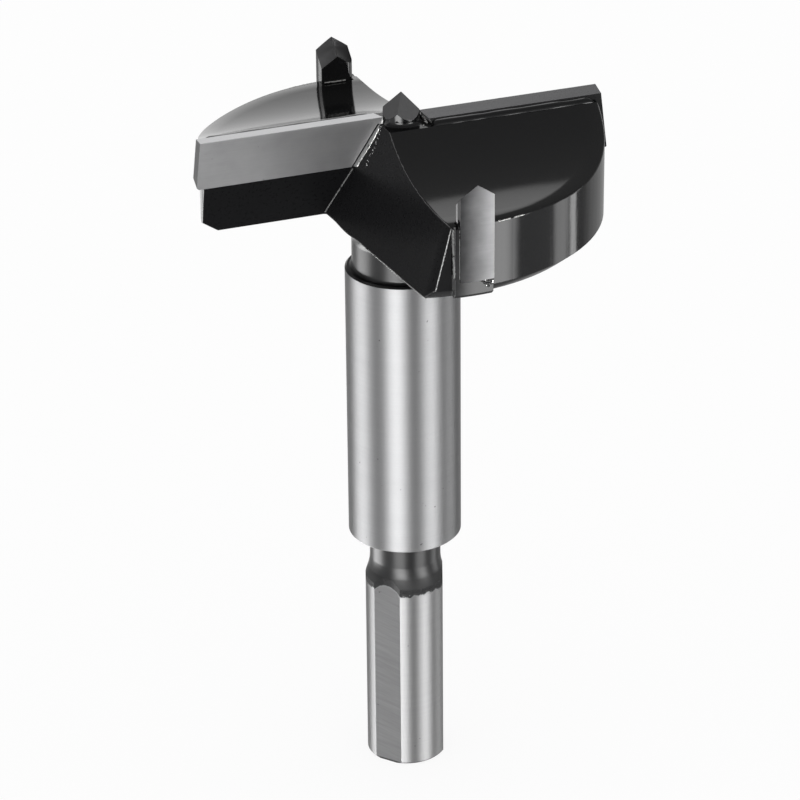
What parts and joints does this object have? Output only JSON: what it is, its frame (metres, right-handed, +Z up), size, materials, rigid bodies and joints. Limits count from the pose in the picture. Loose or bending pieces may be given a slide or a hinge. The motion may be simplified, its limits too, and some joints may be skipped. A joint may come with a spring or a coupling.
{
  "type": "forstner bit",
  "caption": "Wood boring bit with a coated steel head, brazed carbide blades and rim spurs, a centre point and a flatted shank.",
  "frame": {"origin": "centre of the shank's end face", "axes": "+Z up the bit's axis to the centre point, the cutting edges along X, the spurs on -Y and +Y"},
  "size_m": [0.05, 0.05, 0.09],
  "materials": {
    "coated_steel": "gloss black",
    "carbide": "ground satin"
  },
  "bodies": {
    "root": {"body": "coated_steel", "blade_left": "carbide", "blade_right": "carbide", "spur_front": "carbide", "spur_back": "carbide"}
  },
  "joints": []
}
